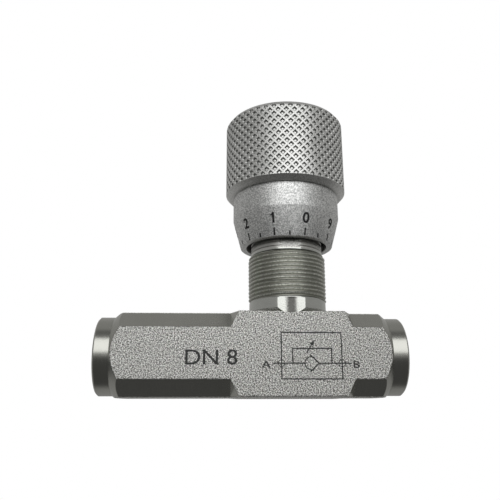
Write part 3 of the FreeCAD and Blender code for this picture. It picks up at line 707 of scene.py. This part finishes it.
def slab(bm, corners):
    """A thin prism over a flat outline, proud of its surface and sunk a little into it."""
    upper = [bm.verts.new((x, y, MARK_PROUD)) for x, y in corners]
    lower = [bm.verts.new((x, y, -MARK_SUNK)) for x, y in corners]
    bm.faces.new(upper)
    bm.faces.new(lower)
    skin(bm, upper, lower)


def stroke(bm, points, width, closed=False):
    """Slabs along a flat polyline, each a little longer than its part."""
    count = len(points)
    for i in range(count if closed else count - 1):
        start, end = Vector(points[i]), Vector(points[(i + 1) % count])
        along = (end - start).normalized() * (width / 2)
        aside = Vector((-along.y, along.x))
        slab(bm, [start - along - aside, end + along - aside, end + along + aside,
                  start - along + aside])


def arc(centre, radius, start=0.0, end=360.0, count=28):
    """Points round a circle, or part of one, with angles in degrees."""
    angles = [math.radians(start + (end - start) * i / count) for i in range(count + 1)]
    return [(centre[0] + radius * math.cos(a), centre[1] + radius * math.sin(a)) for a in angles]


def dial_marks():
    """Ten numbers with long ticks, and short ticks half way, as black inlays."""
    foot, tick_width, long_tick, short_tick = 0.45, 0.42, 1.5, 0.65
    baseline, cap_height, weight, longest = 3.45, 2.55, 0.1, 0.35
    flag_start, flag_end, flag_width = (0, -0.25), (-0.55, -0.65), 0.34
    step = FULL_TURN / DIAL_NUMBERS
    at_zero = math.radians(-90 + 18 - 1.8)
    marks = bmesh.new()
    for half_step in range(2 * DIAL_NUMBERS):
        azimuth = at_zero - half_step / 2 * step
        length = short_tick if half_step % 2 else long_tick
        drawn = bmesh.new()
        stroke(drawn, [(0, foot), (0, foot + length)], tick_width)
        if half_step % 2 == 0:
            number = half_step // 2
            digit = lettering(str(number), cap_height, weight)
            bmesh.ops.translate(digit, vec=(0, baseline, 0), verts=digit.verts)
            add_to(drawn, digit)
            if number == 1:
                head = Vector((0, baseline + cap_height))
                stroke(drawn, [head + Vector(flag_start), head + Vector(flag_end)], flag_width)
        make_bendable(drawn, longest)
        for vertex in drawn.verts:
            vertex.co = on_cone(vertex.co, azimuth)
        add_to(marks, drawn)
    finish_piece("dial_marks", marks, "knob", FINISHES["dial_ink"], sharp=40)


# The marks on the front face -------------------------------------------------------------------

def placed_text(text, height, centre, widened):
    """Lettering about a point of the front face, drawn flat."""
    drawn = lettering(text, height, weight=0.02)
    bmesh.ops.scale(drawn, vec=(widened, 1, 1), verts=drawn.verts)
    bmesh.ops.translate(drawn, vec=(centre[0], centre[1] - height / 2, 0), verts=drawn.verts)
    return drawn


def inlay(name, bm):
    """Stand a flat drawing up on the front face and finish it as a piece."""
    upright = Matrix.Translation((0, FRONT, 0)) @ Matrix.Rotation(QUARTER_TURN, 4, "X")
    bmesh.ops.transform(bm, matrix=upright, verts=bm.verts)
    finish_piece(name, bm, "valve", FINISHES["etched_line"], sharp=40)


def flow_symbol():
    """Standard symbol: a throttle in parallel with a check valve, in a frame, and port letters."""
    width, ball_width, port_width = 0.28, 0.28 * 0.8, 0.28 * 0.6
    left, right, bottom, top = -2.75, 11.55, 3.95, 14.75
    line, line_start, line_end = 7.56, left - 2.0, right + 2.05
    bypass, bypass_left, bypass_right = 11.0, -0.1, 9.13
    ball, ball_radius, port_radius = 4.26, 1.5, 0.8
    seat, seat_back, seat_reach = 6.1, 6.1 - 2.0, 1.9
    arrow_foot, arrow_tip, head, head_width = Vector((3.3, 10.1)), Vector((5.1, 12.95)), 1.3, 0.55
    letter_height, letter_level, letter_a, letter_b = 1.6, 7.3, -6.35, 14.9
    bm = bmesh.new()
    stroke(bm, [(left, bottom), (right, bottom), (right, top), (left, top)], width, closed=True)
    stroke(bm, [(line_start, line), (ball - ball_radius, line)], width)
    stroke(bm, [(seat, line), (line_end, line)], width)
    stroke(bm, [(bypass_left, line), (bypass_left, bypass), (bypass_right, bypass),
                (bypass_right, line)], width)
    stroke(bm, arc((ball, line), ball_radius, 62, 298), ball_width)
    stroke(bm, [(seat_back, line + seat_reach), (seat, line), (seat_back, line - seat_reach)],
           width)
    for side in (left, right):
        stroke(bm, arc((side, line), port_radius), port_width)
    along = (arrow_tip - arrow_foot).normalized()
    aside = Vector((-along.y, along.x)) * head_width
    throat = arrow_tip - along * head
    stroke(bm, [arrow_foot, throat], width)
    slab(bm, [throat - aside, arrow_tip, throat + aside])
    for letter, place in (("A", letter_a), ("B", letter_b)):
        add_to(bm, placed_text(letter, letter_height, (place, letter_level), widened=1.3))
    inlay("flow_symbol", bm)


def size_mark():
    """The nominal size of the ports, on the left arm."""
    height, centre = 3.5, (-19.3, 9.0)
    inlay("size_mark", placed_text("DN 8", height, centre, widened=1.1))


# Pipe threads in the ports ---------------------------------------------------------------------

def port_thread(name, mouth, inward):
    """G1/4 thread ridges lining a port. inward is +1 for port A and -1 for port B."""
    major, minor, pitch = 6.58, 5.72, 1.337
    length, lead, runout, overlap = 10.6, 0.8, 0.7, 0.05
    bm = bmesh.new()
    angles = even_angles(128)

    def radius_at(turn, height):
        fade = min(1, max(0, (height - lead) / runout), max(0, (length - height) / runout))
        return major - (major - minor) * thread_wave(turn) * fade

    bottom, top = helical_band(bm, lead, length, pitch, radius_at, angles)
    outer_bottom = ring(bm, major + overlap, lead, angles)
    outer_top = ring(bm, major + overlap, length, angles)
    skin(bm, bottom, outer_bottom)
    skin(bm, outer_bottom, outer_top)
    skin(bm, outer_top, top)
    turn = Matrix.Rotation(inward * QUARTER_TURN, 4, "Y")
    bmesh.ops.transform(bm, matrix=Matrix.Translation((mouth, 0, AXIS_HEIGHT)) @ turn,
                        verts=bm.verts)
    finish_piece(name, bm, "valve", FINISHES["body_plating"], sharp=40)


# The check valve's spring ----------------------------------------------------------------------

def check_spring():
    """Coil with a closed turn at each end, wound at one fixed length."""
    low, high = box_mm("check_spring")
    radius, wire, turns, closed = 3.75, 0.38, 7.5, 0.80
    sides, per_turn = 14, 44
    seat, travel, clearance = low.x, 3.0, 0.04
    start, length = seat + wire, high.x - seat - 2 * wire
    open_pitch = (length - 2 * closed) / (turns - 2)
    steps = round(turns * per_turn)
    bm = bmesh.new()
    rings = []
    for step in range(steps + 1):
        turn = step / per_turn
        ending = max(0, turn - (turns - 1))
        along = closed * (min(turn, 1) + ending) + open_pitch * (max(0, turn - 1) - ending)
        angle = turn * FULL_TURN
        radial = Vector((0, math.cos(angle), math.sin(angle)))
        forward = Vector((open_pitch / FULL_TURN, -radius * radial.z, radius * radial.y))
        aside = forward.cross(radial).normalized()
        centre = Vector((start + along, 0, AXIS_HEIGHT)) + radial * radius
        rings.append([bm.verts.new(centre + (radial * math.cos(a) + aside * math.sin(a)) * wire)
                      for a in even_angles(sides)])
    for one, following in zip(rings, rings[1:]):
        skin(bm, one, following)
    bm.faces.new(rings[0])
    bm.faces.new(rings[-1])
    piece = finish_piece("check_spring_wound", bm, "valve",
                         FINISHES["spring_steel"], ["check_spring"], sharp=40)
    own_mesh(piece)


# Floor, light and camera -----------------------------------------------------------------------

def floor():
    """A pale floor under the base. It is clear from below, where the camera looks up past it."""
    f = Finish("floor", roughness=0.95, emission_strength=0.56)
    tint = f.noise(0.02, 2.0)
    colour = f.blend(tint, (0.84, 0.84, 0.835), (0.88, 0.88, 0.875))
    f.put(colour)
    f.tree.links.new(colour, f.shader.inputs["Emission Color"])
    below = f.add("NewGeometry", out="Backfacing")
    clear = f.add("BsdfTransparent")
    both = f.add("MixShader", below, f.shader.outputs[0], clear)
    output = f.tree.nodes["Material Output"]
    f.tree.links.new(both, output.inputs["Surface"])
    bm = bmesh.new()
    bmesh.ops.create_circle(bm, cap_ends=True, segments=96, radius=3.0)
    mesh = bpy.data.meshes.new("floor")
    bm.to_mesh(mesh)
    bm.free()
    mesh.materials.append(f.material)
    plane = bpy.data.objects.new("floor", mesh)
    bpy.context.scene.collection.objects.link(plane)
    plane.visible_glossy = False
    plane.visible_diffuse = False


def world():
    """White behind the object; for its reflections a tent, grey above and dark below."""
    sky = bpy.data.worlds.new("studio")
    bpy.context.scene.world = sky
    sky.use_nodes = True
    sky.node_tree.nodes.clear()
    n = Nodes(sky.node_tree)
    direction = n.add("SeparateXYZ", n.add("TexCoord", out="Generated")).node
    ahead, up = direction.outputs[1], direction.outputs[2]
    below = n.spread(ahead, 0.0, 0.45, 0.075, 0.31)
    above = n.spread(ahead, 0.2, 0.9, 0.34, 0.40)
    tent = n.mixed(n.spread(up, -0.18, 0.05), below, above)
    gap = n.math("MULTIPLY", n.spread(up, 0.66, 0.86), n.spread(ahead, -0.14, -0.32, 0.0, 0.20))
    reflected = n.add("Background", (1.0, 0.99, 0.97, 1.0), n.math("SUBTRACT", tent, gap))
    backdrop = n.add("Background", (1.0, 1.0, 1.0, 1.0), 1.0)
    seen = n.add("LightPath", out="Is Camera Ray")
    output = n.tree.nodes.new("ShaderNodeOutputWorld")
    n.tree.links.new(n.add("MixShader", seen, reflected, backdrop), output.inputs["Surface"])


def softbox(name, azimuth, elevation, distance, size, power):
    """A rectangular light that faces the object. Azimuth 0 is the front, 90 the right."""
    light = bpy.data.lights.new(name, "AREA")
    light.shape = "RECTANGLE"
    light.size, light.size_y = size
    light.energy = power
    lamp = bpy.data.objects.new(name, light)
    bpy.context.scene.collection.objects.link(lamp)
    a, e = math.radians(azimuth), math.radians(elevation)
    back = Vector((math.sin(a) * math.cos(e), -math.cos(a) * math.cos(e), math.sin(e)))
    aim = Vector((0, 0, 0.03))
    lamp.location = aim + back * distance
    lamp.rotation_mode = "QUATERNION"
    lamp.rotation_quaternion = (-back).to_track_quat("-Z", "Y")
    lamp.visible_camera = False


def camera():
    """Close to the object, a little below its base and looking up at the dial."""
    data = bpy.data.cameras.new("camera")
    data.lens = 41.8
    data.sensor_width = 36
    eye = bpy.data.objects.new("camera", data)
    bpy.context.scene.collection.objects.link(eye)
    eye.location = Vector((-16.865, -147.344, -4.569)) * MM
    pitch, roll, yaw = 0.2804, 0.0030, -0.0493
    turn = Matrix.Rotation(yaw, 3, "Z") @ Matrix.Rotation(pitch, 3, "X")
    turn = turn @ Matrix.Rotation(roll, 3, "Y")
    eye.rotation_euler = (turn @ Matrix.Rotation(QUARTER_TURN, 3, "X")).to_euler()
    data.clip_start = 0.005
    bpy.context.scene.camera = eye


finish_cad_nodes()
neck()
grip()
dial()
dial_marks()
flow_symbol()
size_mark()
port_thread("port_a_thread", BODY_LOW.x, 1)
port_thread("port_b_thread", BODY_HIGH.x, -1)
check_spring()
floor()
world()
softbox("front_softbox", 3, 26, 0.6, (0.80, 0.46), 1.48)
camera()
bpy.context.scene.view_settings.view_transform = "Standard"
